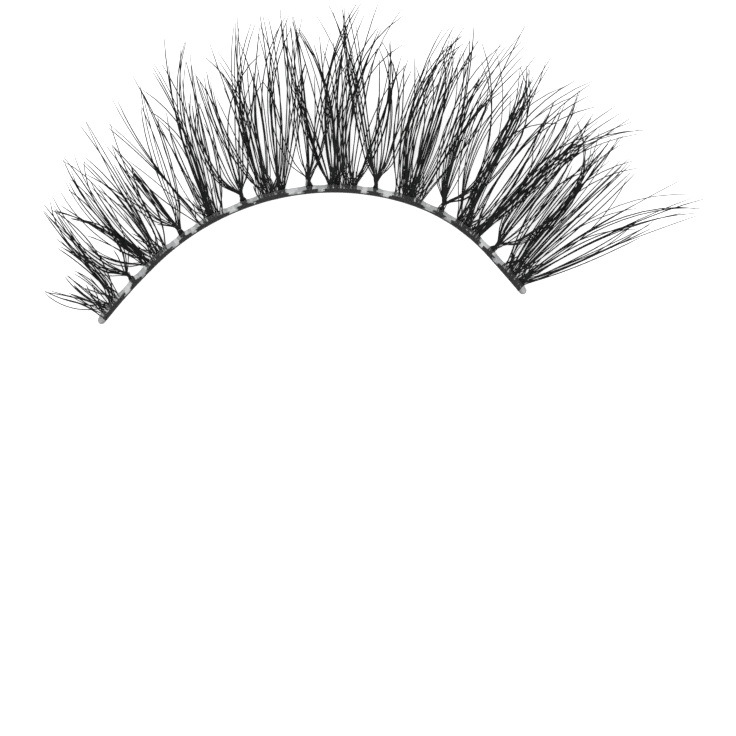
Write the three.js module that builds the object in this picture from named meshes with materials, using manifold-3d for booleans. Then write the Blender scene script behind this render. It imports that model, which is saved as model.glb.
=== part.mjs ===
import * as THREE from 'three';
import { mergeVertices } from 'three/addons/utils/BufferGeometryUtils.js';
import Module from 'manifold-3d';

// Strip false eyelash for one eye, in millimetres, lying on its clear band with the lashes curling up.
// +X runs to the outer corner of the eye, +Y the way the lashes point, +Z up.

// The clear band, and the line that it follows, which lies nearer its lash side
const BAND_LENGTH = 34;
const BAND_WIDTH = 0.54;
const LINE_TO_LASH_SIDE = 0.21;
const BAND_HEIGHT = 0.6;
const BAND_CHAMFER = 0.05;
const BAND_STEP = 0.7;
const END_BEAD_DIAMETER = 0.56;
const START_HEADING = 52;

// The lashes
const LASH_LENGTH = 13.5;
const CURL_HEIGHT = 4.2;
const CURL_STAGE = 3.2;
const WIDE_ROOT = 1.85;
const NARROW_ROOT = 0.42;
const LOCK_WIDTH_BASE = 0.06;
const LOCK_WIDTH_PER_STRAND = 0.035;
const LOCK_HEIGHT = 0.12;
const LOCK_EMBED = 0.12;

// The knotted tails of each cluster, inside the band near the eye side
const TAIL_OVERHANG = 0.2;
const TAIL_WIDTH = 0.2;
const TAIL_HEIGHT = 0.16;
const TAIL_COVER = 0.09;
const POCKET_CLEARANCE = 0.03;
const WIDE_TAIL_LEVEL = 0.2;
const NARROW_TAIL_LEVEL = 0.4;

const LOCK_SIDES = 4;
const HALVINGS = 14;
const BEAD_STEPS = 6;
const DISTANCE_STEPS = 136;
const SLOPE_SHARE = 0.01;
const WELD = 1e-5;

// The band's line as arcs from the inner corner on: share of the band's length, turn in degrees
const BAND_BENDS = [
  { share: 0.16, turn: 8 },
  { share: 0.34, turn: 38 },
  { share: 0.20, turn: 23 },
  { share: 0.20, turn: 31 },
  { share: 0.10, turn: 2 },
];

// Each cluster: its place along the band, wide or narrow, how strongly it curls, and its locks.
// A lock: place across the root, aim of its tip from +Y towards +X in degrees,
// reach in shares of the lash length, sweep from root to tip in degrees, number of strands.
const CLUSTERS = [
  {
    at: 0.034, wide: true, curl: 0.85, locks: [
      [0.02, -69, 0.21, -18, 2],
      [0.30, -67, 0.20, 0, 2],
      [0.35, -50, 0.26, 10, 3],
      [0.40, -76, 0.33, 18, 4],
      [0.42, -57, 0.20, 20, 2],
      [0.55, -48, 0.25, -20, 2],
      [0.75, -42, 0.41, -5, 2],
      [0.80, -49, 0.38, -22, 2],
      [0.85, -38, 0.54, 0, 3],
      [0.90, -38, 0.59, 5, 3],
      [1.00, -42, 0.27, -22, 2],
    ],
  },
  {
    at: 0.103, wide: false, curl: 1.30, locks: [
      [0.00, -66, 0.27, 8, 2],
      [0.10, -48, 0.58, 28, 3],
      [0.20, -50, 0.52, 25, 3],
      [0.30, -61, 0.41, 12, 2],
      [0.80, -36, 0.59, -22, 2],
      [0.85, -30, 0.69, -12, 2],
    ],
  },
  {
    at: 0.167, wide: true, curl: 1.10, locks: [
      [0.05, -73, 0.30, 30, 2],
      [0.10, -61, 0.54, -15, 3],
      [0.12, -46, 0.57, 16, 3],
      [0.15, -63, 0.45, -18, 2],
      [0.17, -43, 0.64, 20, 3],
      [0.25, -39, 0.66, 24, 4],
      [0.50, -41, 0.47, -8, 3],
      [0.55, -37, 0.41, -8, 2],
      [0.60, -38, 0.60, -22, 2],
      [0.68, -30, 0.75, 5, 4],
      [0.92, -28, 0.48, -8, 2],
      [1.00, -26, 0.43, -8, 3],
    ],
  },
  {
    at: 0.235, wide: false, curl: 1.45, locks: [
      [0.05, -51, 0.38, 8, 2],
      [0.10, -52, 0.61, 5, 2],
      [0.20, -38, 0.59, 10, 3],
      [0.35, -35, 0.43, 4, 2],
      [0.45, -37, 0.39, 6, 2],
      [0.80, -16, 0.79, 2, 3],
      [1.00, -20, 0.66, -8, 2],
    ],
  },
  {
    at: 0.300, wide: true, curl: 0.85, locks: [
      [0.05, -50, 0.47, 2, 2],
      [0.10, -41, 0.72, -8, 3],
      [0.25, -25, 0.57, 4, 2],
      [0.35, -24, 0.54, 2, 3],
      [0.40, -22, 0.48, 2, 2],
      [0.50, -18, 0.80, -8, 4],
      [0.65, -13, 0.89, 14, 3],
      [0.72, -12, 0.85, 14, 3],
      [0.80, -10, 0.84, 22, 2],
      [0.90, -13, 0.74, -12, 3],
      [1.00, -12, 0.55, -14, 3],
    ],
  },
  {
    at: 0.372, wide: false, curl: 1.30, locks: [
      [0.05, -23, 0.56, 48, 3],
      [0.25, -19, 0.65, 2, 2],
      [0.35, -25, 0.55, 6, 2],
      [0.40, -17, 0.67, 2, 2],
      [0.45, -17, 0.60, -2, 2],
      [0.70, -2, 0.89, 0, 2],
      [0.80, 4, 0.89, 14, 3],
      [1.00, 5, 0.78, 24, 2],
    ],
  },
  {
    at: 0.428, wide: true, curl: 1.10, locks: [
      [0.20, -29, 0.66, 14, 4],
      [0.23, -21, 0.76, -18, 3],
      [0.25, -9, 0.88, 18, 4],
      [0.30, -20, 0.72, -20, 3],
      [0.32, -10, 0.82, 4, 3],
      [0.40, -9, 0.59, 6, 2],
      [0.50, -8, 0.67, 0, 2],
      [0.70, -8, 0.84, -20, 3],
      [0.75, -3, 0.89, 0, 3],
      [0.88, 0, 0.86, 20, 3],
      [0.94, 2, 0.87, -18, 4],
      [0.96, 9, 0.65, 4, 2],
    ],
  },
  {
    at: 0.505, wide: false, curl: 1.45, locks: [
      [0.10, -15, 0.64, 26, 2],
      [0.30, -7, 0.83, 8, 3],
      [0.45, -7, 0.79, -2, 3],
      [0.80, 12, 0.89, 4, 3],
      [1.00, 11, 0.79, 6, 2],
    ],
  },
  {
    at: 0.570, wide: true, curl: 0.85, locks: [
      [0.00, -14, 0.88, 16, 4],
      [0.04, -18, 0.54, 10, 3],
      [0.12, -15, 0.84, -26, 3],
      [0.20, 8, 0.93, 30, 4],
      [0.22, -7, 0.72, -16, 2],
      [0.25, -3, 0.71, -4, 2],
      [0.27, 5, 0.74, 26, 3],
      [0.45, 14, 0.81, 22, 4],
      [0.50, -2, 0.66, -6, 2],
      [0.70, 6, 0.67, 8, 2],
      [0.78, 8, 0.67, 14, 3],
      [0.85, 15, 0.93, 26, 3],
      [0.95, 12, 0.74, -40, 3],
      [1.00, 21, 0.69, -6, 3],
    ],
  },
  {
    at: 0.635, wide: false, curl: 1.30, locks: [
      [0.10, -12, 0.91, -6, 3],
      [0.25, -10, 0.90, 0, 2],
      [0.35, -9, 0.81, 8, 2],
      [0.50, 4, 0.64, 2, 3],
      [0.65, 3, 0.74, -18, 3],
      [0.90, 20, 0.61, 6, 2],
      [1.00, 22, 0.68, -6, 2],
    ],
  },
  {
    at: 0.702, wide: true, curl: 1.10, locks: [
      [0.10, 4, 0.68, 6, 3],
      [0.15, 13, 0.66, 22, 2],
      [0.22, 17, 0.60, 26, 2],
      [0.30, 8, 0.70, -34, 2],
      [0.38, 17, 0.89, 24, 4],
      [0.45, 14, 0.84, 14, 4],
      [0.50, 19, 0.91, 24, 2],
      [0.58, 16, 0.73, 4, 3],
      [0.65, 20, 0.86, 6, 4],
      [0.72, 17, 0.78, -26, 3],
      [0.80, 19, 0.80, 34, 2],
      [0.88, 35, 0.93, 14, 2],
      [0.95, 37, 0.93, 12, 2],
      [1.00, 34, 0.57, 0, 2],
    ],
  },
  {
    at: 0.770, wide: false, curl: 1.45, locks: [
      [0.10, 11, 0.94, -14, 3],
      [0.40, 23, 0.97, 30, 4],
      [0.55, 18, 0.73, 22, 3],
      [0.70, 23, 0.70, 12, 2],
      [0.80, 20, 0.60, 8, 2],
      [0.95, 31, 0.91, -40, 3],
      [1.00, 31, 0.84, -34, 3],
    ],
  },
  {
    at: 0.835, wide: true, curl: 0.85, locks: [
      [0.05, 10, 0.89, -40, 2],
      [0.12, 13, 0.69, 16, 2],
      [0.15, 23, 0.74, 24, 2],
      [0.20, 28, 0.79, 12, 2],
      [0.28, 24, 0.83, -2, 4],
      [0.35, 23, 0.90, -6, 3],
      [0.48, 35, 0.89, 24, 3],
      [0.55, 40, 0.95, 44, 3],
      [0.60, 36, 0.76, -4, 4],
      [0.70, 38, 0.89, -28, 4],
      [0.82, 40, 0.73, -30, 2],
      [0.88, 33, 0.64, -8, 3],
      [0.93, 51, 0.95, 24, 2],
      [0.97, 52, 0.71, 14, 3],
      [1.00, 54, 0.96, 26, 4],
    ],
  },
  {
    at: 0.898, wide: false, curl: 1.30, locks: [
      [0.10, 33, 0.72, 0, 2],
      [0.40, 38, 0.82, 6, 4],
      [0.55, 40, 0.82, 14, 2],
      [0.65, 37, 0.73, 0, 3],
      [0.80, 42, 0.62, -16, 2],
      [0.90, 37, 0.87, -50, 2],
      [1.00, 43, 0.76, -40, 2],
    ],
  },
  {
    at: 0.964, wide: true, curl: 1.10, locks: [
      [0.05, 34, 0.76, 8, 2],
      [0.15, 34, 0.67, 12, 2],
      [0.30, 39, 0.84, -2, 4],
      [0.40, 38, 0.80, 2, 4],
      [0.48, 45, 0.84, 20, 3],
      [0.55, 44, 0.78, 6, 3],
      [0.62, 46, 0.77, 4, 3],
      [0.80, 62, 0.96, 10, 2],
      [0.85, 64, 0.96, 16, 4],
      [0.90, 66, 0.94, 12, 3],
      [0.92, 65, 0.73, -4, 2],
      [0.94, 65, 0.64, -6, 2],
    ],
  },
];

const wasm = await Module();
wasm.setup();

const radians = THREE.MathUtils.degToRad;

// Way along an arc of the given run and turn: the straight distance between its ends
function chordOf(run, turn) {
  return turn === 0 ? run : run * Math.sin(turn / 2) / (turn / 2);
}

// A point of the band's line, or one moved out from there to the lash side, and the heading there
function bandPoint(along, out = 0) {
  let heading = radians(START_HEADING);
  let left = along;
  const point = new THREE.Vector2();
  for (const { share, turn } of BAND_BENDS) {
    const length = share * BAND_LENGTH;
    const run = Math.min(left, length);
    const bend = radians(turn) * run / length;
    const chord = chordOf(run, bend);
    point.x += chord * Math.cos(heading - bend / 2);
    point.y += chord * Math.sin(heading - bend / 2);
    heading -= bend;
    left -= run;
  }
  point.x -= out * Math.sin(heading);
  point.y += out * Math.cos(heading);
  return { point, heading };
}

// Points along one side of the band's line, at equal steps
function bandSide(from, to, out) {
  const steps = Math.max(1, Math.round(Math.abs(to - from) / BAND_STEP));
  return Array.from({ length: steps + 1 }, (_, i) => bandPoint(from + (to - from) * i / steps, out).point);
}

// Points round the bead at one end of the band; facing is where the band lies, seen from the bead
function endBead(along, facing) {
  const { point, heading } = bandPoint(along, LINE_TO_LASH_SIDE - BAND_WIDTH / 2);
  const radius = END_BEAD_DIAMETER / 2;
  const neck = Math.asin(BAND_WIDTH / END_BEAD_DIAMETER);
  const sweep = 2 * (Math.PI - neck);
  return Array.from({ length: BEAD_STEPS + 1 }, (_, i) => {
    const angle = heading + facing + neck + sweep * i / BEAD_STEPS;
    return new THREE.Vector2(point.x + radius * Math.cos(angle), point.y + radius * Math.sin(angle));
  });
}

function solidOf(geometry) {
  geometry.deleteAttribute('normal');
  geometry.deleteAttribute('uv');
  const merged = mergeVertices(geometry, WELD);
  return new wasm.Manifold(new wasm.Mesh({
    numProp: 3,
    vertProperties: merged.attributes.position.array,
    triVerts: Uint32Array.from(merged.index.array),
  }));
}

function geometryOf(solid) {
  const mesh = solid.getMesh();
  const geometry = new THREE.BufferGeometry();
  geometry.setAttribute('position', new THREE.BufferAttribute(mesh.vertProperties, 3));
  geometry.setIndex(new THREE.BufferAttribute(mesh.triVerts, 1));
  geometry.computeVertexNormals();
  return geometry;
}

// A bar that follows the band's line, between two offsets to the lash side and two heights
function barAlongBand(from, to, inner, outer, bottom, top) {
  const outline = new THREE.Shape([...bandSide(from, to, inner), ...bandSide(to, from, outer)]);
  const bar = new THREE.ExtrudeGeometry(outline, { depth: top - bottom, bevelEnabled: false });
  bar.translate(0, 0, bottom);
  return solidOf(bar);
}

const eyeSide = LINE_TO_LASH_SIDE - BAND_WIDTH;
const tailInner = eyeSide + TAIL_COVER;
const tailOuter = tailInner + TAIL_WIDTH;
const tailMiddle = (tailInner + tailOuter) / 2;

// Sizes that a cluster's tails, root and pocket share
function rootOf(cluster) {
  const width = cluster.wide ? WIDE_ROOT : NARROW_ROOT;
  const middle = cluster.at * BAND_LENGTH;
  const reach = width / 2 + TAIL_OVERHANG;
  return {
    width,
    start: middle - width / 2,
    tailFrom: Math.max(middle - reach, TAIL_OVERHANG),
    tailTo: Math.min(middle + reach, BAND_LENGTH - TAIL_OVERHANG),
    level: cluster.wide ? WIDE_TAIL_LEVEL : NARROW_TAIL_LEVEL,
  };
}

const distanceMarks = Array.from(
  { length: DISTANCE_STEPS + 1 },
  (_, i) => bandPoint(BAND_LENGTH * i / DISTANCE_STEPS).point,
);

// How far a point of the plan lies out of the band
function distanceFromBand(point) {
  const nearest = Math.min(...distanceMarks.map((mark) => mark.distanceTo(point)));
  return Math.max(0, nearest - LINE_TO_LASH_SIDE);
}

// Height of a lash at a distance from the band, for a curl of 1, rising in straight stages
function curlHeight(away) {
  const stage = Math.floor(away / CURL_STAGE);
  const [low, high] = [stage, stage + 1].map((k) => CURL_HEIGHT * (k * CURL_STAGE / LASH_LENGTH) ** 2);
  return low + (high - low) * (away / CURL_STAGE - stage);
}

// How far along a run a rising quantity reaches a value
function reachedAt(rising, value, run) {
  let [before, beyond] = [0, run];
  for (let i = 0; i < HALVINGS; i++) {
    const middle = (before + beyond) / 2;
    if (rising(middle) < value) before = middle;
    else beyond = middle;
  }
  return beyond;
}

// One tapered lock: a pointed bar bent along an arc in plan, that curls up with its distance from the band.
// Its rings lie where the curl's stages end, so locks of a cluster are equally high where they cross.
function lockSolid(cluster, [place, aim, reach, sweep, strands]) {
  const { width, start, level } = rootOf(cluster);
  const { point: root, heading } = bandPoint(start + place * width, LINE_TO_LASH_SIDE);
  const turn = radians(sweep);
  const straight = reach * LASH_LENGTH;
  const run = straight * straight / chordOf(straight, turn);
  const lean = radians(aim) - turn / 2 + heading;
  const inside = LOCK_EMBED / Math.cos(lean);

  // The middle line, at a distance from the root that is negative inside the band
  const planAt = (distance) => {
    const bend = turn * distance / run;
    const chord = chordOf(distance, bend);
    const toward = radians(aim) - turn / 2 + bend / 2;
    return new THREE.Vector2(root.x + chord * Math.sin(toward), root.y + chord * Math.cos(toward));
  };
  const awayAt = (distance) => (distance > 0 ? distanceFromBand(planAt(distance)) : 0);
  const centre = (distance) => {
    const plan = planAt(distance);
    return new THREE.Vector3(plan.x, plan.y, level + cluster.curl * curlHeight(awayAt(distance)));
  };

  const stages = Math.ceil(awayAt(run) / CURL_STAGE);
  const stations = Array.from({ length: stages + 1 }, (_, i) => reachedAt(awayAt, i * CURL_STAGE, run));
  stations[0] = -inside;
  stations[stages] = run;

  const lock = new THREE.ConeGeometry(1, 1, LOCK_SIDES, stages);
  const vertices = lock.attributes.position;
  const lockWidth = LOCK_WIDTH_BASE + LOCK_WIDTH_PER_STRAND * strands;
  const small = run * SLOPE_SHARE;
  for (let i = 0; i < vertices.count; i++) {
    const ring = Math.round((vertices.getY(i) + 0.5) * stages);
    const distance = stations[ring];
    const taper = ring === stages ? 0 : (run - distance) / (run + inside) / (1 - ring / stages);
    const middle = centre(distance);
    const ahead = centre(distance + small).sub(centre(distance - small)).normalize();
    const across = new THREE.Vector3(ahead.y, -ahead.x, 0).normalize();
    const up = new THREE.Vector3().crossVectors(across, ahead);
    middle.addScaledVector(across, vertices.getX(i) * taper * lockWidth / 2);
    middle.addScaledVector(up, vertices.getZ(i) * taper * LOCK_HEIGHT / 2);
    vertices.setXYZ(i, middle.x, middle.y, middle.z);
  }
  return solidOf(lock);
}

function clusterSolid(cluster) {
  const { width, start, tailFrom, tailTo, level } = rootOf(cluster);
  const half = TAIL_HEIGHT / 2;
  const tails = barAlongBand(tailFrom, tailTo, tailInner, tailOuter, level - half, level + half);
  const lashSide = LINE_TO_LASH_SIDE;
  const root = barAlongBand(start, start + width, tailMiddle, lashSide, level - half, level + half);
  return cluster.locks.reduce((solid, lock) => solid.add(lockSolid(cluster, lock)), tails.add(root));
}

function pocketSolid(cluster) {
  const { tailFrom, tailTo, level } = rootOf(cluster);
  const half = TAIL_HEIGHT / 2 + POCKET_CLEARANCE;
  const from = tailFrom - POCKET_CLEARANCE;
  const to = tailTo + POCKET_CLEARANCE;
  return barAlongBand(from, to, tailInner - POCKET_CLEARANCE, BAND_WIDTH, level - half, level + half);
}

function bandSolid() {
  const outline = new THREE.Shape([
    ...endBead(0, 0),
    ...bandSide(0, BAND_LENGTH, eyeSide).slice(1, -1),
    ...endBead(BAND_LENGTH, Math.PI),
    ...bandSide(BAND_LENGTH, 0, LINE_TO_LASH_SIDE).slice(1, -1),
  ]);
  const band = new THREE.ExtrudeGeometry(outline, {
    depth: BAND_HEIGHT - 2 * BAND_CHAMFER,
    bevelThickness: BAND_CHAMFER,
    bevelSize: BAND_CHAMFER,
    bevelOffset: -BAND_CHAMFER,
    bevelSegments: 1,
  });
  band.translate(0, 0, BAND_CHAMFER);
  return CLUSTERS.reduce((solid, cluster) => solid.subtract(pocketSolid(cluster)), solidOf(band));
}

const clearBand = new THREE.MeshStandardMaterial({ color: 0xc4c8c8, roughness: 0.3, metalness: 0 });
const lashFibre = new THREE.MeshStandardMaterial({ color: 0x141718, roughness: 0.45, metalness: 0 });

function named(name, solid, material) {
  const mesh = new THREE.Mesh(geometryOf(solid), material);
  mesh.name = name;
  return mesh;
}

const strip = new THREE.Group();
strip.add(named('band', bandSolid(), clearBand));
CLUSTERS.forEach((cluster, i) => {
  const number = String(i + 1).padStart(2, '0');
  strip.add(named(`lash_cluster_${number}`, clusterSolid(cluster), lashFibre));
});

// The origin goes to the middle of the underside of the strip's box
const box = new THREE.Box3().setFromObject(strip);
strip.position.set(-(box.min.x + box.max.x) / 2, -(box.min.y + box.max.y) / 2, -box.min.z);

const part = new THREE.Group();
part.add(strip);

export default part;
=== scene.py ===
import math
import random

import bmesh
import bpy
import numpy as np
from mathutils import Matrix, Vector


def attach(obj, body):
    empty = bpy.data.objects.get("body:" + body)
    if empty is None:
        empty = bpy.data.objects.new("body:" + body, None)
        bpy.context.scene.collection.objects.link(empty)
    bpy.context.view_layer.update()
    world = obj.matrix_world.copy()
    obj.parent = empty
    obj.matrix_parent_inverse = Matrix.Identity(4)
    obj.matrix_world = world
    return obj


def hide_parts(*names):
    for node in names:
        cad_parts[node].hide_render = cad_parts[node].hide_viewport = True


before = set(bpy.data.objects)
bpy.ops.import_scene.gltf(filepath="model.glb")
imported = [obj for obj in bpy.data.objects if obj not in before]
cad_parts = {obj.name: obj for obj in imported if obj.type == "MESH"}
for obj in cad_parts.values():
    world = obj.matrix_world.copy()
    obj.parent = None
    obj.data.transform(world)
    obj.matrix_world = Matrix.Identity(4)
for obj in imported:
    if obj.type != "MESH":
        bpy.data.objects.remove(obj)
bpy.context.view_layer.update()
bpy.ops.object.select_all(action="DESELECT")

# The view: a camera that looks straight down on the strip as it lies on a white lightbox,
# framed as the photograph is, so that one of its pixels covers PIXEL on the table. The band's
# line starts at BAND_START, which is the pixel BAND_START_PIXEL of the picture.
MM = 0.001
BAND_LENGTH = 34.0 * MM
BAND_PIXELS = 504
PIXEL = BAND_LENGTH / BAND_PIXELS
FRAME_PIXELS = 736
BAND_START_PIXEL = (100.7, 320.2)
BAND_START = (-18.053 * MM, -10.627 * MM)
CAMERA_HEIGHT = 0.3
CAMERA_NEAR = 0.01
CAMERA_FAR = 10

middle = FRAME_PIXELS / 2
camera_data = bpy.data.cameras.new("camera")
camera_data.type = "ORTHO"
camera_data.ortho_scale = FRAME_PIXELS * PIXEL
camera_data.clip_start = CAMERA_NEAR
camera_data.clip_end = CAMERA_FAR
camera = bpy.data.objects.new("camera", camera_data)
camera.location = (
    BAND_START[0] + (middle - BAND_START_PIXEL[0]) * PIXEL,
    BAND_START[1] - (middle - BAND_START_PIXEL[1]) * PIXEL,
    CAMERA_HEIGHT,
)
bpy.context.scene.collection.objects.link(camera)
bpy.context.scene.camera = camera
bpy.context.scene.view_settings.view_transform = "Standard"

# The table: a smooth white sheet under even, soft studio light, with one wide softbox to the
# upper left that gives the band its gloss. It isn't part of the strip.
TABLE_SIZE = 1.2
TABLE_WHITE = (0.94, 0.94, 0.94, 1.0)
TABLE_GLOW = 0.6
TABLE_ROUGHNESS = 0.9
WHITE = (1.0, 1.0, 1.0, 1.0)
SKY_STRENGTH = 1.0
SOFTBOX_SIZE = 0.35
SOFTBOX_POWER = 0.6
SOFTBOX_PLACE = (-0.25, 0.3, 0.45)

bpy.ops.mesh.primitive_plane_add(size=TABLE_SIZE, location=(0, 0, 0))
table = bpy.context.object
table.name = "table"
paper = bpy.data.materials.new("white_table")
paper.use_nodes = True
paper_shader = paper.node_tree.nodes["Principled BSDF"]
paper_shader.inputs["Base Color"].default_value = TABLE_WHITE
paper_shader.inputs["Roughness"].default_value = TABLE_ROUGHNESS
paper_shader.inputs["Specular IOR Level"].default_value = 0.0
paper_shader.inputs["Emission Color"].default_value = WHITE
paper_shader.inputs["Emission Strength"].default_value = TABLE_GLOW
table.data.materials.append(paper)

world = bpy.data.worlds.new("studio")
world.use_nodes = True
sky = world.node_tree.nodes["Background"]
sky.inputs["Color"].default_value = WHITE
sky.inputs["Strength"].default_value = SKY_STRENGTH
bpy.context.scene.world = world

softbox_data = bpy.data.lights.new("softbox", "AREA")
softbox_data.size = SOFTBOX_SIZE
softbox_data.energy = SOFTBOX_POWER
softbox = bpy.data.objects.new("softbox", softbox_data)
softbox.location = SOFTBOX_PLACE
softbox.rotation_euler = (-Vector(SOFTBOX_PLACE)).to_track_quat("-Z", "Y").to_euler()
bpy.context.scene.collection.objects.link(softbox)

# The clear band: a thin strip of cured, slightly grey resin in the arch of an eyelid, cast over
# the tails of the lashes. It is one section swept through five arcs in a row, and it ends in a
# rounded knob of resin on each side. Its surface is a little uneven, and swells at the roots.
BAND_WIDTH = 0.54 * MM
BAND_HEIGHT = 0.6 * MM
BAND_ROUNDING = 0.13 * MM
ROUNDING_SEGMENTS = 5
BAND_STEP = 0.16 * MM
SECTION_REACH = 0.3 * BAND_STEP
LASH_SIDE = 0.21 * MM
BAND_MIDDLE = LASH_SIDE - BAND_WIDTH / 2
START_HEADING = math.radians(52)
BAND_BENDS = (  # share of the length, turn in degrees
    (0.16, 8),
    (0.34, 38),
    (0.20, 23),
    (0.20, 31),
    (0.10, 2),
)
KNOB_NECK = 0.19 * MM
KNOB_RINGS = (  # distance out from the end of the band, half width and half height, in mm
    (-0.10, 0.262, 0.290),
    (0.00, 0.262, 0.270),
    (0.09, 0.235, 0.235),
    (0.16, 0.180, 0.185),
    (0.21, 0.100, 0.110),
    (0.23, 0.035, 0.045),
)


def band_point(along, out=0.0):
    """A point of the band's line, moved out to the lash side, and the heading there."""
    heading = START_HEADING
    x, y = BAND_START
    left = along
    for share, turn in BAND_BENDS:
        length = share * BAND_LENGTH
        run = min(left, length)
        bend = math.radians(turn) * run / length
        chord = run * math.sin(bend / 2) / (bend / 2) if bend else run
        x += chord * math.cos(heading - bend / 2)
        y += chord * math.sin(heading - bend / 2)
        heading -= bend
        left -= run
    return Vector((x - out * math.sin(heading), y + out * math.cos(heading), 0)), heading


def select_section(mesh, point, heading):
    """Selects the ring of a swept mesh that stands across its line at a point."""
    ahead = Vector((math.cos(heading), math.sin(heading), 0))
    shape = bmesh.from_edit_mesh(mesh)
    for vertex in shape.verts:
        away = vertex.co - point
        beside = Vector((away.x, away.y)).length < BAND_WIDTH
        vertex.select = abs(away.dot(ahead)) < SECTION_REACH and beside
    shape.select_mode = {"VERT"}
    shape.select_flush_mode()
    bmesh.update_edit_mesh(mesh)


def add_knob(mesh, along, facing):
    """Draws the end section out into a rounded knob and closes it."""
    end, end_heading = band_point(along, BAND_MIDDLE)
    outward = Vector((math.cos(end_heading), math.sin(end_heading), 0)) * facing
    start, heading = band_point(along - facing * KNOB_NECK, BAND_MIDDLE)
    select_section(mesh, start, heading)
    centre = Vector((start.x, start.y, BAND_HEIGHT / 2))
    half_width, half_height = BAND_WIDTH / 2, BAND_HEIGHT / 2
    for out, wide, high in KNOB_RINGS:
        ring = Vector((end.x, end.y, BAND_HEIGHT / 2)) + outward * out * MM
        bpy.ops.mesh.extrude_region_move(TRANSFORM_OT_translate={"value": ring - centre})
        across, up = wide * MM / half_width, high * MM / half_height
        bpy.ops.transform.resize(value=(across, across, up), center_override=ring)
        centre, half_width, half_height = ring, wide * MM, high * MM
    bpy.ops.mesh.edge_face_add()


section_start, section_heading = band_point(KNOB_NECK, BAND_MIDDLE)
bpy.ops.object.select_all(action="DESELECT")
bpy.ops.mesh.primitive_plane_add(
    size=1,
    location=(section_start.x, section_start.y, BAND_HEIGHT / 2),
    rotation=(math.pi / 2, 0, section_heading + math.pi / 2),
)
band = bpy.context.object
band.name = "resin_band"
band.scale = (BAND_WIDTH, BAND_HEIGHT, 1)
bpy.ops.object.transform_apply(location=True, rotation=True, scale=True)
bpy.ops.object.mode_set(mode="EDIT")
bpy.ops.mesh.bevel(offset=BAND_ROUNDING, segments=ROUNDING_SEGMENTS, affect="VERTICES")
bpy.ops.mesh.delete(type="ONLY_FACE")
bpy.ops.mesh.select_all(action="SELECT")
bpy.ops.mesh.subdivide(number_cuts=1)
along = KNOB_NECK
arc_end = 0.0
for share, turn in BAND_BENDS:
    arc_end += share * BAND_LENGTH
    reach = min(arc_end, BAND_LENGTH - KNOB_NECK)
    angle = math.radians(turn) * (reach - along) / (share * BAND_LENGTH)
    point, heading = band_point(along)
    radius = (reach - along) / angle
    centre = point + radius * Vector((math.sin(heading), -math.cos(heading), 0))
    bpy.ops.mesh.spin(
        steps=round((reach - along) / BAND_STEP), angle=angle, center=centre, axis=(0, 0, 1)
    )
    along = reach
add_knob(band.data, 0.0, -1)
add_knob(band.data, BAND_LENGTH, 1)
bpy.ops.mesh.select_all(action="SELECT")
bpy.ops.mesh.normals_make_consistent(inside=False)
bpy.ops.object.mode_set(mode="OBJECT")

# The resin's surface: while it was wet it was drawn up a little between the fibres at every
# root, and it has cured a little uneven everywhere.
ROOT_SWELL = 0.05 * MM
UNEVEN_DEPTH = 0.016 * MM
UNEVEN_SIZE = 0.5 * MM
LINE_STEPS = 680

line = np.array([band_point(BAND_LENGTH * i / LINE_STEPS)[0] for i in range(LINE_STEPS + 1)])[:, :2]


def along_and_away(places):
    """For plan points: how far along the band they lie, and how far from its line."""
    gaps = np.linalg.norm(places[:, None, :] - line[None, :, :], axis=2)
    nearest = gaps.argmin(axis=1)
    return nearest * BAND_LENGTH / LINE_STEPS, gaps[np.arange(len(places)), nearest]


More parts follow.
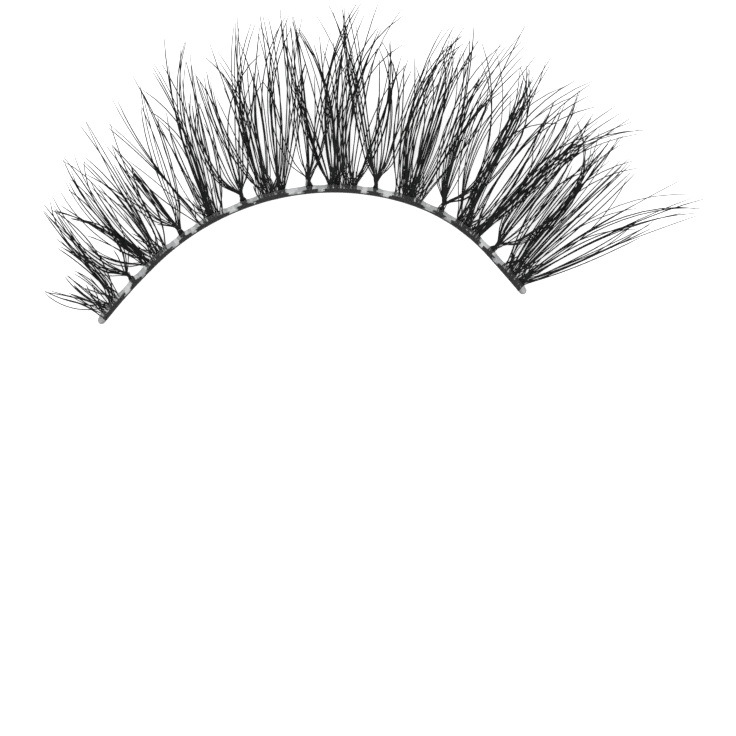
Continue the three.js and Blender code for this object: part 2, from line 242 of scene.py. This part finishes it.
# The chart of the fans, from the inner corner of the eye on: place along the band, kind, curl,
# and locks. A lock's row has its place across the root, aim in degrees, reach in lash lengths,
# sweep in degrees and number of strands.
CLUSTERS = (
    (0.034, "wide", 0.85, (
        (0.02, -69, 0.21, -18, 2),
        (0.30, -67, 0.20, 0, 2),
        (0.35, -50, 0.26, 10, 3),
        (0.40, -76, 0.33, 18, 4),
        (0.42, -57, 0.20, 20, 2),
        (0.55, -48, 0.25, -20, 2),
        (0.65, -64, 0.15, -15, 1),
        (0.75, -42, 0.41, -5, 2),
        (0.80, -49, 0.38, -22, 2),
        (0.85, -38, 0.54, 0, 3),
        (0.90, -38, 0.59, 5, 3),
        (1.00, -42, 0.27, -22, 2),
    )),
    (0.103, "narrow", 1.30, (
        (0.00, -66, 0.27, 8, 2),
        (0.10, -48, 0.58, 28, 3),
        (0.20, -50, 0.52, 25, 3),
        (0.30, -61, 0.41, 12, 2),
        (0.80, -36, 0.59, -22, 2),
        (0.85, -30, 0.69, -12, 2),
    )),
    (0.167, "wide", 1.10, (
        (0.00, -71, 0.32, 35, 1),
        (0.05, -73, 0.30, 30, 2),
        (0.10, -61, 0.54, -15, 3),
        (0.12, -46, 0.57, 16, 3),
        (0.15, -63, 0.45, -18, 2),
        (0.17, -43, 0.64, 20, 3),
        (0.25, -39, 0.66, 24, 4),
        (0.50, -41, 0.47, -8, 3),
        (0.55, -37, 0.41, -8, 2),
        (0.60, -38, 0.60, -22, 2),
        (0.68, -30, 0.75, 5, 4),
        (0.80, -26, 0.69, 16, 1),
        (0.92, -28, 0.48, -8, 2),
        (1.00, -26, 0.43, -8, 3),
    )),
    (0.235, "narrow", 1.45, (
        (0.05, -51, 0.38, 8, 2),
        (0.10, -52, 0.61, 5, 2),
        (0.20, -38, 0.59, 10, 3),
        (0.35, -35, 0.43, 4, 2),
        (0.45, -37, 0.39, 6, 2),
        (0.80, -16, 0.79, 2, 3),
        (1.00, -20, 0.66, -8, 2),
    )),
    (0.300, "wide", 0.85, (
        (0.05, -50, 0.47, 2, 2),
        (0.10, -41, 0.72, -8, 3),
        (0.15, -46, 0.67, -18, 1),
        (0.25, -25, 0.57, 4, 2),
        (0.35, -24, 0.54, 2, 3),
        (0.40, -22, 0.48, 2, 2),
        (0.45, -29, 0.63, -38, 1),
        (0.50, -18, 0.80, -8, 4),
        (0.55, -26, 0.73, -25, 1),
        (0.65, -13, 0.89, 14, 3),
        (0.72, -12, 0.85, 14, 3),
        (0.80, -10, 0.84, 22, 2),
        (0.90, -13, 0.74, -12, 3),
        (1.00, -12, 0.55, -14, 3),
    )),
    (0.372, "narrow", 1.30, (
        (0.05, -23, 0.56, 48, 3),
        (0.25, -19, 0.65, 2, 2),
        (0.35, -25, 0.55, 6, 2),
        (0.40, -17, 0.67, 2, 2),
        (0.45, -17, 0.60, -2, 2),
        (0.60, -12, 0.63, -20, 1),
        (0.70, -2, 0.89, 0, 2),
        (0.80, 4, 0.89, 14, 3),
        (1.00, 5, 0.78, 24, 2),
    )),
    (0.428, "wide", 1.10, (
        (0.00, -17, 0.71, -16, 1),
        (0.20, -29, 0.66, 14, 4),
        (0.23, -21, 0.76, -18, 3),
        (0.25, -9, 0.88, 18, 4),
        (0.30, -20, 0.72, -20, 3),
        (0.32, -10, 0.82, 4, 3),
        (0.40, -9, 0.59, 6, 2),
        (0.50, -8, 0.67, 0, 2),
        (0.58, -7, 0.62, -10, 1),
        (0.70, -8, 0.84, -20, 3),
        (0.75, -3, 0.89, 0, 3),
        (0.88, 0, 0.86, 20, 3),
        (0.94, 2, 0.87, -18, 4),
        (0.96, 9, 0.65, 4, 2),
        (1.00, -1, 0.72, -18, 1),
    )),
    (0.505, "narrow", 1.45, (
        (0.10, -15, 0.64, 26, 2),
        (0.30, -7, 0.83, 8, 3),
        (0.45, -7, 0.79, -2, 3),
        (0.60, 1, 0.55, -4, 1),
        (0.80, 12, 0.89, 4, 3),
        (1.00, 11, 0.79, 6, 2),
    )),
    (0.570, "wide", 0.85, (
        (0.00, -14, 0.88, 16, 4),
        (0.04, -18, 0.54, 10, 3),
        (0.12, -15, 0.84, -26, 3),
        (0.18, -11, 0.78, -16, 1),
        (0.20, 8, 0.93, 30, 4),
        (0.22, -7, 0.72, -16, 2),
        (0.25, -3, 0.71, -4, 2),
        (0.27, 5, 0.74, 26, 3),
        (0.45, 14, 0.81, 22, 4),
        (0.48, -6, 0.50, -10, 1),
        (0.50, -2, 0.66, -6, 2),
        (0.55, 1, 0.63, -2, 1),
        (0.70, 6, 0.67, 8, 2),
        (0.78, 8, 0.67, 14, 3),
        (0.85, 15, 0.93, 26, 3),
        (0.88, 20, 0.78, 58, 1),
        (0.95, 12, 0.74, -40, 3),
        (1.00, 21, 0.69, -6, 3),
    )),
    (0.635, "narrow", 1.30, (
        (0.10, -12, 0.91, -6, 3),
        (0.25, -10, 0.90, 0, 2),
        (0.35, -9, 0.81, 8, 2),
        (0.50, 4, 0.64, 2, 3),
        (0.65, 3, 0.74, -18, 3),
        (0.75, 8, 0.64, 10, 1),
        (0.90, 20, 0.61, 6, 2),
        (1.00, 22, 0.68, -6, 2),
    )),
    (0.702, "wide", 1.10, (
        (0.10, 4, 0.68, 6, 3),
        (0.15, 13, 0.66, 22, 2),
        (0.22, 17, 0.60, 26, 2),
        (0.30, 8, 0.70, -34, 2),
        (0.38, 17, 0.89, 24, 4),
        (0.45, 14, 0.84, 14, 4),
        (0.50, 19, 0.91, 24, 2),
        (0.58, 16, 0.73, 4, 3),
        (0.65, 20, 0.86, 6, 4),
        (0.72, 17, 0.78, -26, 3),
        (0.80, 19, 0.80, 34, 2),
        (0.88, 35, 0.93, 14, 2),
        (0.95, 37, 0.93, 12, 2),
        (1.00, 34, 0.57, 0, 2),
    )),
    (0.770, "narrow", 1.45, (
        (0.10, 11, 0.94, -14, 3),
        (0.40, 23, 0.97, 30, 4),
        (0.55, 18, 0.73, 22, 3),
        (0.70, 23, 0.70, 12, 2),
        (0.80, 20, 0.60, 8, 2),
        (0.95, 31, 0.91, -40, 3),
        (1.00, 31, 0.84, -34, 3),
    )),
    (0.835, "wide", 0.85, (
        (0.05, 10, 0.89, -40, 2),
        (0.12, 13, 0.69, 16, 2),
        (0.15, 23, 0.74, 24, 2),
        (0.20, 28, 0.79, 12, 2),
        (0.28, 24, 0.83, -2, 4),
        (0.35, 23, 0.90, -6, 3),
        (0.42, 29, 0.81, 10, 1),
        (0.48, 35, 0.89, 24, 3),
        (0.55, 40, 0.95, 44, 3),
        (0.60, 36, 0.76, -4, 4),
        (0.70, 38, 0.89, -28, 4),
        (0.75, 44, 0.90, 56, 1),
        (0.82, 40, 0.73, -30, 2),
        (0.88, 33, 0.64, -8, 3),
        (0.93, 51, 0.95, 24, 2),
        (0.97, 52, 0.71, 14, 3),
        (1.00, 54, 0.96, 26, 4),
    )),
    (0.898, "narrow", 1.30, (
        (0.10, 33, 0.72, 0, 2),
        (0.40, 38, 0.82, 6, 4),
        (0.55, 40, 0.82, 14, 2),
        (0.65, 37, 0.73, 0, 3),
        (0.80, 42, 0.62, -16, 2),
        (0.90, 37, 0.87, -50, 2),
        (1.00, 43, 0.76, -40, 2),
    )),
    (0.964, "wide", 1.10, (
        (0.05, 34, 0.76, 8, 2),
        (0.15, 34, 0.67, 12, 2),
        (0.30, 39, 0.84, -2, 4),
        (0.40, 38, 0.80, 2, 4),
        (0.48, 45, 0.84, 20, 3),
        (0.55, 44, 0.78, 6, 3),
        (0.62, 46, 0.77, 4, 3),
        (0.70, 59, 0.70, 22, 1),
        (0.75, 50, 0.76, -14, 1),
        (0.80, 62, 0.96, 10, 2),
        (0.85, 64, 0.96, 16, 4),
        (0.90, 66, 0.94, 12, 3),
        (0.92, 65, 0.73, -4, 2),
        (0.94, 65, 0.64, -6, 2),
    )),
)
ROOT_WIDTH = {"wide": 1.85 * MM, "narrow": 0.42 * MM}
ROOT_LEVEL = {"wide": 0.2 * MM, "narrow": 0.4 * MM}
# The swell fades out past each root over ROOT_FADE. Light leaves the resin sideways at its
# rims, so they look darker, most on the eye side.
ROOT_FADE = 0.25 * MM
RIM_START = 0.3
EYE_SIDE_RIM = 1.0
LASH_SIDE_RIM = 0.4

swell_of = np.zeros(LINE_STEPS + 1)
for cluster in CLUSTERS:
    at, kind = cluster[:2]
    half_root = ROOT_WIDTH[kind] / 2
    for i in range(LINE_STEPS + 1):
        past = abs(i * BAND_LENGTH / LINE_STEPS - at * BAND_LENGTH) - half_root
        swell_of[i] = max(swell_of[i], 1 - min(max(past, 0) / ROOT_FADE, 1))

places = np.array([vertex.co for vertex in band.data.vertices])
runs = along_and_away(places[:, :2])[0]
swell = swell_of[np.rint(runs / BAND_LENGTH * LINE_STEPS).astype(int)]
rim = band.data.attributes.new("rim", "FLOAT", "POINT")
for vertex, place, reach, share in zip(band.data.vertices, places, runs, swell):
    point, heading = band_point(reach)
    outward = Vector((-math.sin(heading), math.cos(heading), 0))
    side = ((Vector(place) - point).dot(outward) - BAND_MIDDLE) / (BAND_WIDTH / 2)
    edge = min(max((abs(side) - RIM_START) / (1 - RIM_START), 0), 1)
    rim.data[vertex.index].value = edge * (EYE_SIDE_RIM if side < 0 else LASH_SIDE_RIM)
    if side > 0:
        vertex.co += outward * (ROOT_SWELL * share * side)

unevenness = bpy.data.textures.new("uneven_resin", type="CLOUDS")
unevenness.noise_scale = UNEVEN_SIZE
ripple = band.modifiers.new("uneven_resin", "DISPLACE")
ripple.texture = unevenness
ripple.texture_coords = "LOCAL"
ripple.strength = UNEVEN_DEPTH
ripple.mid_level = 0.5
bpy.ops.object.select_all(action="DESELECT")
band.select_set(True)
bpy.context.view_layer.objects.active = band
bpy.ops.object.modifier_apply(modifier=ripple.name)
bpy.ops.object.shade_smooth()

RESIN_TINT = (0.58, 0.59, 0.595, 1.0)
RESIN_SHADE = (0.42, 0.43, 0.435, 1.0)
RESIN_RIM = (0.03, 0.032, 0.034, 1.0)
RESIN_IOR = 1.47
RESIN_CLOUDS = 1800  # noise scales are per metre
RESIN_SMEARS = 3500
RESIN_ROUGHNESS = (0.14, 0.34)
RESIN_GRAIN = 5000
RESIN_GRAIN_DEPTH = 0.012 * MM
NOISE_RANGE = (0.3, 0.7)


def add_noise(tree, scale, detail, low, high):
    """A noise on the piece's own coordinates, stretched between two values."""
    place = tree.nodes.new("ShaderNodeTexCoord")
    noise = tree.nodes.new("ShaderNodeTexNoise")
    noise.inputs["Scale"].default_value = scale
    noise.inputs["Detail"].default_value = detail
    spread = tree.nodes.new("ShaderNodeMapRange")
    spread.inputs["From Min"].default_value = NOISE_RANGE[0]
    spread.inputs["From Max"].default_value = NOISE_RANGE[1]
    spread.inputs["To Min"].default_value = low
    spread.inputs["To Max"].default_value = high
    tree.links.new(place.outputs["Object"], noise.inputs["Vector"])
    tree.links.new(noise.outputs["Fac"], spread.inputs["Value"])
    return spread.outputs["Result"]


def add_blend(tree, share, second):
    """A mix with a second colour at each point by a share, and its first colour's socket."""
    mix = tree.nodes.new("ShaderNodeMix")
    mix.data_type = "RGBA"
    mix.inputs["B"].default_value = second
    tree.links.new(share, mix.inputs["Factor"])
    return mix.outputs["Result"], mix.inputs["A"]


def add_bump(tree, height, depth):
    """A fine relief of the given depth."""
    bump = tree.nodes.new("ShaderNodeBump")
    bump.inputs["Strength"].default_value = 1.0
    bump.inputs["Distance"].default_value = depth
    tree.links.new(height, bump.inputs["Height"])
    return bump.outputs["Normal"]


resin = bpy.data.materials.new("clear_resin")
resin.use_nodes = True
tree = resin.node_tree
shader = tree.nodes["Principled BSDF"]
shader.inputs["IOR"].default_value = RESIN_IOR
shader.inputs["Transmission Weight"].default_value = 1.0
cloudy, clear = add_blend(tree, add_noise(tree, RESIN_CLOUDS, 2, 0, 1), RESIN_SHADE)
clear.default_value = RESIN_TINT
edges = tree.nodes.new("ShaderNodeAttribute")
edges.attribute_name = "rim"
edged, inside_edges = add_blend(tree, edges.outputs["Fac"], RESIN_RIM)
tree.links.new(cloudy, inside_edges)
tree.links.new(edged, shader.inputs["Base Color"])
tree.links.new(add_noise(tree, RESIN_SMEARS, 3, *RESIN_ROUGHNESS), shader.inputs["Roughness"])
grain = add_noise(tree, RESIN_GRAIN, 2, 0, 1)
tree.links.new(add_bump(tree, grain, RESIN_GRAIN_DEPTH), shader.inputs["Normal"])
band.data.materials.clear()
band.data.materials.append(resin)
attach(band, "root")
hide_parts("band")

# One lash: a drawn synthetic fibre, even for more than half of its length and then tapered to a
# fine tip. It is modelled straight, one unit long and one in radius, to be bent into place. Its
# rings lie closer together near the root, where it bends most.
LASH_SIDES = 6
LASH_SEGMENTS = 16
RING_REACH = 0.3 / LASH_SEGMENTS
LONG_EDGE = 0.5
ROOT_CROWDING = 1.6
TAPER_START = 0.6
TIP_SHARE = 0.84
POINT_SHARE = 0.44

bpy.ops.object.select_all(action="DESELECT")
bpy.ops.mesh.primitive_cylinder_add(vertices=LASH_SIDES, radius=1, depth=1, location=(0, 0, 0.5))
lash = bpy.context.object
lash.name = "lash"
bpy.ops.object.transform_apply(location=True, rotation=True, scale=True)
bpy.ops.object.mode_set(mode="EDIT")
bpy.ops.mesh.select_all(action="DESELECT")
shape = bmesh.from_edit_mesh(lash.data)
for edge in shape.edges:
    edge.select = abs(edge.verts[0].co.z - edge.verts[1].co.z) > LONG_EDGE
shape.select_flush(True)
bmesh.update_edit_mesh(lash.data)
bpy.ops.mesh.subdivide(number_cuts=LASH_SEGMENTS - 1)
for step in range(1, LASH_SEGMENTS + 1):
    level = step / LASH_SEGMENTS
    share = level**ROOT_CROWDING
    fine = max(share - TAPER_START, 0) / (1 - TAPER_START)
    thickness = 1 - (1 - TIP_SHARE) * fine if step < LASH_SEGMENTS else POINT_SHARE
    shape = bmesh.from_edit_mesh(lash.data)
    shape.select_mode = {"VERT"}
    for vertex in shape.verts:
        vertex.select = abs(vertex.co.z - level) < RING_REACH
    shape.select_flush_mode()
    bmesh.update_edit_mesh(lash.data)
    bpy.ops.transform.resize(value=(thickness, thickness, 1), center_override=(0, 0, level))
    bpy.ops.transform.translate(value=(0, 0, share - level))
bpy.ops.object.mode_set(mode="OBJECT")
bpy.ops.object.shade_smooth()
straight_lash = np.array([vertex.co for vertex in lash.data.vertices])

DYE_DARK = (0.004, 0.0043, 0.0045, 1.0)
DYE_WORN = (0.014, 0.0148, 0.0155, 1.0)
DYE_PATCHES = 1500
FIBRE_SPECULAR = 0.15
FIBRE_SMEARS = 9000
FIBRE_ROUGHNESS = (0.36, 0.58)
FIBRE_GRAIN = 30000
FIBRE_GRAIN_DEPTH = 0.004 * MM

fibre = bpy.data.materials.new("black_fibre")
fibre.use_nodes = True
tree = fibre.node_tree
shader = tree.nodes["Principled BSDF"]
shader.inputs["Specular IOR Level"].default_value = FIBRE_SPECULAR
shades, deepest = add_blend(tree, add_noise(tree, DYE_PATCHES, 3, 0, 1), DYE_WORN)
deepest.default_value = DYE_DARK
tree.links.new(shades, shader.inputs["Base Color"])
tree.links.new(add_noise(tree, FIBRE_SMEARS, 2, *FIBRE_ROUGHNESS), shader.inputs["Roughness"])
grain = add_noise(tree, FIBRE_GRAIN, 1, 0, 1)
tree.links.new(add_bump(tree, grain, FIBRE_GRAIN_DEPTH), shader.inputs["Normal"])
lash.data.materials.append(fibre)

PATH_STEP = 0.004  # the share of a path over which its heading is taken


def bend_lash(path, radius):
    """A copy of the lash that follows a path, given as a function of the share of its length."""
    levels = straight_lash[:, 2]
    middle = path(levels)
    ahead = path(levels + PATH_STEP) - path(levels - PATH_STEP)
    ahead /= np.linalg.norm(ahead, axis=1)[:, None]
    across = np.stack([ahead[:, 1], -ahead[:, 0], np.zeros(len(levels))], axis=1)
    across /= np.linalg.norm(across, axis=1)[:, None]
    up = np.cross(across, ahead)
    bent = middle + radius * (straight_lash[:, :1] * across + straight_lash[:, 1:2] * up)
    copy = lash.copy()
    copy.data = lash.data.copy()
    copy.data.vertices.foreach_set("co", bent.ravel())
    bpy.context.scene.collection.objects.link(copy)
    return copy


# The fans of lashes: each one is tied from loose black fibres that leave one root and fall into
# locks, which cross, lean and lie on one another. The narrow fans first draw in to a neck. All
# the fans are knotted on a fine thread inside the resin, and their tails lie beside it.
LASH_LENGTH = 13.5 * MM
LASH_RADIUS = 0.046 * MM
RADIUS_SPREAD = (0.72, 1.08)
# A lash rises with the square of its way out from the band, and eases off towards the top.
CURL_HEIGHT = 4.2 * MM
EASE_START = 5.3 * MM
EASE_HEIGHT = 0.8 * MM
# How far single strands stray from their lock, from the foot over the neck and belly to the tip.
# TIP_STRAY is a share of the strand's length, TIP_HOOK a share of its sweep.
LOCK_STRAY = 0.06 * MM
FOOT_STRAY = {"wide": 0.24 * MM, "narrow": 0.06 * MM}
FOOT_PINCH = {"wide": 0.0, "narrow": 0.25}
GATHER_RUN = {"wide": 1.2 * MM, "narrow": 1.9 * MM}
NECK_OUT = 0.42 * MM
NECK_STRAY = 0.065 * MM
BELLY_GAP = 0.085 * MM
TIP_GAP = 0.11 * MM
TIP_STRAY = 0.04
TIP_BEND = 3
TIP_HOOK = 0.15
SWEEP_STRAY = 11
# How deep the strands are set in the resin, and how far they part in height.
EMBED = (0.10 * MM, 0.40 * MM)
LEVEL_SPREAD = 0.05 * MM
# How long the strands are beside their lock's reach, and how many more there are than charted.
SHORTER = (0.91, 1.05)
SHORTEST = (0.55, 0.85)
SHORT_SHARE = 0.18
STRANDS_INNER = 1.04
STRANDS_OUTER = 1.38
STRANDS_BEND = 3
STRANDS_STRAY = 0.5
# The short fibre ends at the roots, and the tails and the thread inside the resin.
SHORT_HAIRS = {"wide": 10, "narrow": 2}
SHORT_REACH = (0.05, 0.17)
SHORT_LEAN = 26
TAIL_OUT = (-0.26 * MM, -0.05 * MM)
TAIL_LEVELS = 0.07 * MM
TAIL_ENDS = 0.2 * MM
TAIL_COUNT = {"wide": 20, "narrow": 14}
THREAD_RADIUS = 0.036 * MM
THREAD_OUT = -0.265 * MM
THREAD_LEVEL = 0.49 * MM


def lock_line(root, lean, turn, run):
    """The plan of a lock's middle line, by the distance from its root."""

    def line_at(distance):
        bend = turn * distance / run
        chord = distance * np.sinc(bend / 2 / math.pi)
        toward = lean + bend / 2
        return root[:, None] + chord * np.array([np.sin(toward), np.cos(toward)])

    return line_at


def lash_path(line_at, marks, lean, turn, run, inside, level, curl, bow):
    """The way of one lash out of the resin to its tip. It lies beside its lock's line at the
    marks, which are distances from the root and shifts in plan there."""

    def path(share):
        distance = share * (run + inside) - inside
        plan = line_at(distance) + marks[0][1][:, None]
        for (start, shift), (end, next_shift) in zip(marks, marks[1:]):
            passed = np.clip((distance - start) / (end - start), 0, 1)
            plan = plan + (next_shift - shift)[:, None] * (passed**2 * (3 - 2 * passed))
        out = np.clip(distance / run, 0, None)
        side = bow[0] * np.sin(math.pi * np.clip(out, 0, 1)) + bow[1] * out**TIP_BEND
        heading = lean + turn * distance / run
        plan = plan + side * np.array([np.cos(heading), -np.sin(heading)])
        away = np.where(distance > 0, along_and_away(plan.T)[1] - LASH_SIDE, 0)
        height = level + curl * CURL_HEIGHT * (np.clip(away, 0, None) / LASH_LENGTH) ** 2
        eased = 1 - np.exp(-np.clip(height - EASE_START, 0, None) / EASE_HEIGHT)
        height = np.minimum(height, EASE_START) + EASE_HEIGHT * eased
        return np.array([plan[0], plan[1], height]).T

    return path


def tail_path(first, last, out, level):
    """The way of one tail inside the resin, along the eye side of the band."""

    def path(share):
        places = [band_point(first + (last - first) * step, out)[0] for step in share]
        return np.array([(place.x, place.y, level) for place in places])

    return path


def add_lock(strands, rng, cluster, lock):
    """Bends the strands of one lock and adds them to the cluster's strands."""
    at, kind, curl = cluster[:3]
    place, aim, reach, sweep, count = lock
    half = ROOT_WIDTH[kind] / 2
    from_middle = (place - 0.5) * ROOT_WIDTH[kind]
    fullness = STRANDS_INNER + (STRANDS_OUTER - STRANDS_INNER) * at**STRANDS_BEND
    total = count if count == 1 else round(count * fullness + rng.uniform(0, STRANDS_STRAY))
    for strand in range(total):
        beside = strand - (total - 1) / 2
        along = at * BAND_LENGTH + from_middle + rng.gauss(0, LOCK_STRAY)
        root, heading = band_point(along, LASH_SIDE)
        footing = from_middle * (1 - FOOT_PINCH[kind]) + rng.gauss(0, FOOT_STRAY[kind])
        footing = at * BAND_LENGTH + min(max(footing, -half), half)
        foot = band_point(footing, LASH_SIDE)[0]
        turn = math.radians(sweep + rng.gauss(0, SWEEP_STRAY))
        full = reach * LASH_LENGTH
        if strand != total // 2:  # the middle strand has the lock's full reach
            full *= rng.uniform(*(SHORTEST if rng.random() < SHORT_SHARE else SHORTER))
        run = full * (turn / 2) / math.sin(turn / 2) if turn else full
        hook = TIP_HOOK * turn
        lean = math.radians(aim) - turn / 2 - hook
        inside = rng.uniform(*EMBED) / math.cos(lean + heading)
        bow = (beside * BELLY_GAP, beside * TIP_GAP + rng.gauss(hook, TIP_STRAY) * run)
        level = ROOT_LEVEL[kind] + rng.uniform(-1, 1) * LEVEL_SPREAD
        line_at = lock_line(np.array(root[:2]), lean, turn, run)
        marks = [(0, np.array((foot - root)[:2]))]
        if kind == "narrow":
            neck_place = at * BAND_LENGTH + rng.gauss(0, NECK_STRAY)
            neck = band_point(neck_place, LASH_SIDE + NECK_OUT)[0]
            neck_at = NECK_OUT / math.cos(lean + heading)
            marks.append((neck_at, np.array(neck[:2]) - line_at(np.array([neck_at]))[:, 0]))
        marks.append((GATHER_RUN[kind], np.zeros(2)))
        path = lash_path(line_at, marks, lean, turn, run, inside, level, curl, bow)
        strands.append(bend_lash(path, LASH_RADIUS * rng.uniform(*RADIUS_SPREAD)))


def add_short_hairs(strands, rng, cluster):
    """Adds the short, crossing fibre ends that darken the root of a fan."""
    heading = band_point(cluster[0] * BAND_LENGTH)[1]
    for hair in range(SHORT_HAIRS[cluster[1]]):
        aim = rng.uniform(-1, 1) * SHORT_LEAN - math.degrees(heading)
        add_lock(strands, rng, cluster, (rng.random(), aim, rng.uniform(*SHORT_REACH), 0, 1))


def add_tails(strands, rng, cluster):
    """Bends the tails of one cluster, which lie along the eye side of the band."""
    at, kind = cluster[:2]
    half = ROOT_WIDTH[kind] / 2 + TAIL_ENDS
    for tail in range(TAIL_COUNT[kind]):
        first = max(at * BAND_LENGTH - half + rng.uniform(-1, 1) * TAIL_ENDS, KNOB_NECK)
        last = min(at * BAND_LENGTH + half + rng.uniform(-1, 1) * TAIL_ENDS, BAND_LENGTH - KNOB_NECK)
        if tail % 2:
            first, last = last, first
        out = rng.uniform(*TAIL_OUT)
        level = ROOT_LEVEL[kind] + rng.uniform(-1, 1) * TAIL_LEVELS
        strands.append(bend_lash(tail_path(first, last, out, level), LASH_RADIUS))


def add_thread(strands, first, last):
    """Adds a fan's stretch of the fine thread, as two strands that taper opposite ways."""
    for ends in ((first, last), (last, first)):
        strands.append(bend_lash(tail_path(*ends, THREAD_OUT, THREAD_LEVEL), THREAD_RADIUS))


# The stretches of the thread meet half-way between the fans.
halfway = [(one[0] + other[0]) / 2 * BAND_LENGTH for one, other in zip(CLUSTERS, CLUSTERS[1:])]
thread_marks = [KNOB_NECK, *halfway, BAND_LENGTH - KNOB_NECK]

for number, cluster in enumerate(CLUSTERS, start=1):
    rng = random.Random(number)
    strands = []
    for lock in cluster[3]:
        add_lock(strands, rng, cluster, lock)
    add_short_hairs(strands, rng, cluster)
    add_tails(strands, rng, cluster)
    add_thread(strands, thread_marks[number - 1], thread_marks[number])
    bpy.ops.object.select_all(action="DESELECT")
    for strand in strands:
        strand.select_set(True)
    bpy.context.view_layer.objects.active = strands[0]
    bpy.ops.object.join()
    fan = bpy.context.object
    fan.name = f"lashes_{number:02d}"
    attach(fan, "root")
    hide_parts(f"lash_cluster_{number:02d}")
bpy.data.objects.remove(lash)
